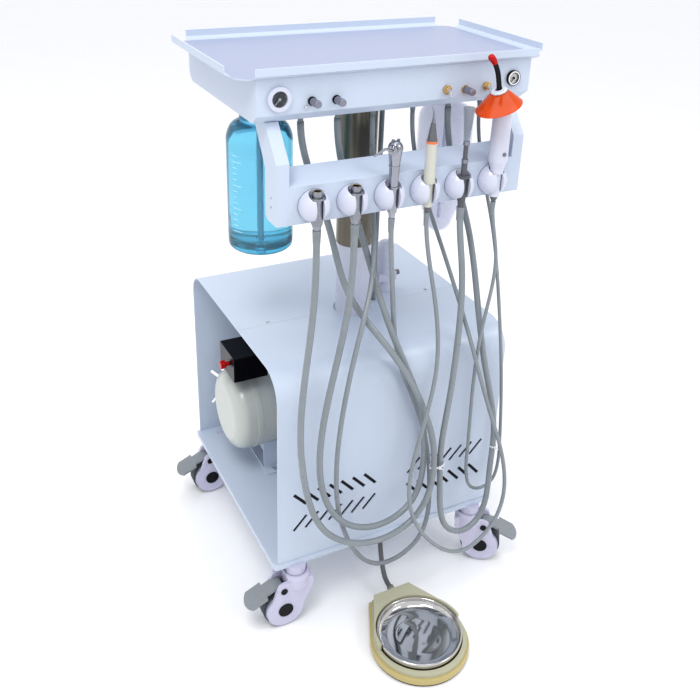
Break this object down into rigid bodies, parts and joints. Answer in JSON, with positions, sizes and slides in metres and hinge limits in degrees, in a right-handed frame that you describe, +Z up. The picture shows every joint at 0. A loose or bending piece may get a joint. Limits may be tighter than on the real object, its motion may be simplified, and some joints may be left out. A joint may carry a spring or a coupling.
{
  "type": "portable dental unit",
  "caption": "Wheeled dental treatment cart with instrument holders, tray, water bottles, compressor cabinet and a foot control.",
  "frame": {"origin": "middle of the footprint, on the floor", "axes": "+Z up, +X to the right seen from the front, -Y out of the front where the instruments hang"},
  "size_m": [0.554, 0.67, 0.981],
  "materials": {
    "enamel": "white powder coat, satin",
    "enamel_post": "white paint, satin",
    "tank_enamel": "cream paint, gloss",
    "pump_metal": "cast, satin",
    "zinc_steel": "zinc plated",
    "manifold": "machined",
    "switch_black": "fine grain",
    "knob_red": "moulded",
    "filter_white": "moulded",
    "inlet_grey": "moulded",
    "hose_grey": "silicone, satin",
    "foot_beige": "moulded",
    "pedal_chrome": "polished",
    "caster_white": "moulded",
    "caster_tyre": "ground",
    "brake_grey": "moulded",
    "sleeve_chrome": "polished",
    "holder_white": "moulded",
    "gauge_trim": "moulded",
    "needle_black": "painted",
    "flow_knob_grey": "knurled",
    "cap_blue": "moulded",
    "bottle_blue": "clear tinted plastic",
    "bottle_clear": "clear plastic",
    "coupling_steel": "turned",
    "syringe_chrome": "polished",
    "button_grey": "moulded",
    "scaler_beige": "moulded",
    "suction_grey": "moulded",
    "light_white": "moulded",
    "shield_orange": "tinted filter plastic"
  },
  "bodies": {
    "base": {"base_plate": "enamel", "base_fasteners": "zinc_steel", "front_cover": "enamel", "rear_cover": "enamel", "column_post": "enamel_post", "compressor_tank": "tank_enamel", "compressor_motor": "pump_metal", "compressor_cradle": "enamel", "pressure_switch": "switch_black", "filter_regulator": "filter_white", "power_inlet": "inlet_grey", "foot_hose": "hose_grey", "foot_housing": "foot_beige"},
    "head": {"column_sleeve": "sleeve_chrome", "tray": "enamel", "control_box": "enamel", "valve_block": "manifold", "instrument_bar": "enamel", "instrument_holders": "holder_white", "panel_fittings": "gauge_trim", "bottle_caps": "cap_blue", "supply_hose": "hose_grey", "hose_1": "hose_grey", "hose_2": "hose_grey", "hose_3": "hose_grey", "hose_4": "hose_grey", "hose_5": "hose_grey", "hose_6": "hose_grey"},
    "caster_housing_fl": {"caster_housing_fl": "caster_white"},
    "caster_wheel_fl": {"caster_wheel_fl": "caster_tyre"},
    "brake_pedal_fl": {"brake_pedal_fl": "brake_grey"},
    "caster_housing_fr": {"caster_housing_fr": "caster_white"},
    "caster_wheel_fr": {"caster_wheel_fr": "caster_tyre"},
    "brake_pedal_fr": {"brake_pedal_fr": "brake_grey"},
    "caster_housing_bl": {"caster_housing_bl": "caster_white"},
    "caster_wheel_bl": {"caster_wheel_bl": "caster_tyre"},
    "brake_pedal_bl": {"brake_pedal_bl": "brake_grey"},
    "caster_housing_br": {"caster_housing_br": "caster_white"},
    "caster_wheel_br": {"caster_wheel_br": "caster_tyre"},
    "brake_pedal_br": {"brake_pedal_br": "brake_grey"},
    "foot_pedal": {"foot_pedal": "pedal_chrome"},
    "switch_knob": {"switch_knob": "knob_red"},
    "flow_knob_1": {"flow_knob_1": "flow_knob_grey"},
    "flow_knob_2": {"flow_knob_2": "flow_knob_grey"},
    "flow_knob_3": {"flow_knob_3": "flow_knob_grey"},
    "water_bottle": {"water_bottle": "bottle_blue"},
    "clear_bottle": {"clear_bottle": "bottle_clear"},
    "connector_1": {"connector_1": "coupling_steel"},
    "connector_2": {"connector_2": "coupling_steel"},
    "syringe": {"syringe": "syringe_chrome"},
    "scaler": {"scaler": "scaler_beige"},
    "suction_handle": {"suction_handle": "suction_grey"},
    "curing_light": {"curing_light": "light_white", "eye_shield": "shield_orange"},
    "air_button": {"air_button": "button_grey"},
    "water_button": {"water_button": "button_grey"},
    "curing_button": {"curing_button": "button_grey"},
    "gauge_needle_left": {"gauge_needle_left": "needle_black"},
    "gauge_needle_right": {"gauge_needle_right": "needle_black"}
  },
  "joints": [
    {"name": "column_lift", "type": "slide", "parent": "base", "child": "head", "axis": [0, 0, 1], "range_m": [-0.05, 0.11]},
    {"name": "caster_swivel_fl", "type": "hinge", "parent": "base", "child": "caster_housing_fl", "pos_m": [-0.182, -0.092, 0.09], "axis": [0, 0, 1], "continuous": true},
    {"name": "wheel_spin_fl", "type": "hinge", "parent": "caster_housing_fl", "child": "caster_wheel_fl", "pos_m": [-0.209, -0.092, 0.0375], "axis": [0, -1, 0], "continuous": true},
    {"name": "brake_press_fl", "type": "hinge", "parent": "caster_housing_fl", "child": "brake_pedal_fl", "pos_m": [-0.212, -0.092, 0.081], "axis": [0, -1, 0], "range_deg": [0, 12]},
    {"name": "caster_swivel_fr", "type": "hinge", "parent": "base", "child": "caster_housing_fr", "pos_m": [0.182, -0.092, 0.09], "axis": [0, 0, 1], "continuous": true},
    {"name": "wheel_spin_fr", "type": "hinge", "parent": "caster_housing_fr", "child": "caster_wheel_fr", "pos_m": [0.20356, -0.10825, 0.0375], "axis": [0.6018, 0.7986, 0], "continuous": true},
    {"name": "brake_press_fr", "type": "hinge", "parent": "caster_housing_fr", "child": "brake_pedal_fr", "pos_m": [0.20596, -0.11005, 0.081], "axis": [0.6018, 0.7986, 0], "range_deg": [0, 12]},
    {"name": "caster_swivel_bl", "type": "hinge", "parent": "base", "child": "caster_housing_bl", "pos_m": [-0.182, 0.303, 0.09], "axis": [0, 0, 1], "continuous": true},
    {"name": "wheel_spin_bl", "type": "hinge", "parent": "caster_housing_bl", "child": "caster_wheel_bl", "pos_m": [-0.209, 0.303, 0.0375], "axis": [0, -1, 0], "continuous": true},
    {"name": "brake_press_bl", "type": "hinge", "parent": "caster_housing_bl", "child": "brake_pedal_bl", "pos_m": [-0.212, 0.303, 0.081], "axis": [0, -1, 0], "range_deg": [0, 12]},
    {"name": "caster_swivel_br", "type": "hinge", "parent": "base", "child": "caster_housing_br", "pos_m": [0.182, 0.303, 0.09], "axis": [0, 0, 1], "continuous": true},
    {"name": "wheel_spin_br", "type": "hinge", "parent": "caster_housing_br", "child": "caster_wheel_br", "pos_m": [0.209, 0.303, 0.0375], "axis": [0, 1, 0], "continuous": true},
    {"name": "brake_press_br", "type": "hinge", "parent": "caster_housing_br", "child": "brake_pedal_br", "pos_m": [0.212, 0.303, 0.081], "axis": [0, 1, 0], "range_deg": [0, 12]},
    {"name": "foot_press", "type": "slide", "parent": "base", "child": "foot_pedal", "axis": [0, 0, -1], "range_m": [0, 0.006], "stiffness_N_per_m": 2000, "springref_m": -0.01},
    {"name": "switch_push", "type": "slide", "parent": "base", "child": "switch_knob", "axis": [1, 0, 0], "range_m": [0, 0.005]},
    {"name": "flow_turn_1", "type": "hinge", "parent": "head", "child": "flow_knob_1", "pos_m": [-0.147, -0.065, 0.921], "axis": [0, 1, 0], "range_deg": [0, 270]},
    {"name": "flow_turn_2", "type": "hinge", "parent": "head", "child": "flow_knob_2", "pos_m": [-0.109, -0.065, 0.92], "axis": [0, 1, 0], "range_deg": [0, 270]},
    {"name": "flow_turn_3", "type": "hinge", "parent": "head", "child": "flow_knob_3", "pos_m": [0.109, -0.065, 0.917], "axis": [0, 1, 0], "range_deg": [0, 270]},
    {"name": "water_bottle_unscrew", "type": "hinge", "parent": "head", "child": "water_bottle", "pos_m": [-0.172, 0.08, 0.87], "axis": [0, 0, -1], "range_deg": [0, 180]},
    {"name": "clear_bottle_unscrew", "type": "hinge", "parent": "head", "child": "clear_bottle", "pos_m": [0.172, 0.08, 0.87], "axis": [0, 0, -1], "range_deg": [0, 180]},
    {"name": "connector_1_lift", "type": "slide", "parent": "head", "child": "connector_1", "axis": [0, 0, 1], "range_m": [0, 0.08]},
    {"name": "connector_2_lift", "type": "slide", "parent": "head", "child": "connector_2", "axis": [0, 0, 1], "range_m": [0, 0.08]},
    {"name": "syringe_lift", "type": "slide", "parent": "head", "child": "syringe", "axis": [0, 0, 1], "range_m": [0, 0.08]},
    {"name": "scaler_lift", "type": "slide", "parent": "head", "child": "scaler", "axis": [0, 0, 1], "range_m": [0, 0.08]},
    {"name": "suction_handle_lift", "type": "slide", "parent": "head", "child": "suction_handle", "axis": [0, 0, 1], "range_m": [0, 0.08]},
    {"name": "curing_light_lift", "type": "slide", "parent": "head", "child": "curing_light", "axis": [0, 0, 1], "range_m": [0, 0.08]},
    {"name": "air_button_press", "type": "slide", "parent": "syringe", "child": "air_button", "axis": [0, 0, -1], "range_m": [0, 0.002], "stiffness_N_per_m": 500, "springref_m": -0.003},
    {"name": "water_button_press", "type": "slide", "parent": "syringe", "child": "water_button", "axis": [0, 0, -1], "range_m": [0, 0.002], "stiffness_N_per_m": 500, "springref_m": -0.003},
    {"name": "curing_button_press", "type": "slide", "parent": "curing_light", "child": "curing_button", "axis": [0, 1, 0], "range_m": [0, 0.0015], "stiffness_N_per_m": 500, "springref_m": -0.003},
    {"name": "needle_turn_left", "type": "hinge", "parent": "head", "child": "gauge_needle_left", "pos_m": [-0.197, -0.062, 0.928], "axis": [0, 1, 0], "range_deg": [0, 270]},
    {"name": "needle_turn_right", "type": "hinge", "parent": "head", "child": "gauge_needle_right", "pos_m": [0.197, -0.062, 0.928], "axis": [0, 1, 0], "range_deg": [0, 270]}
  ]
}
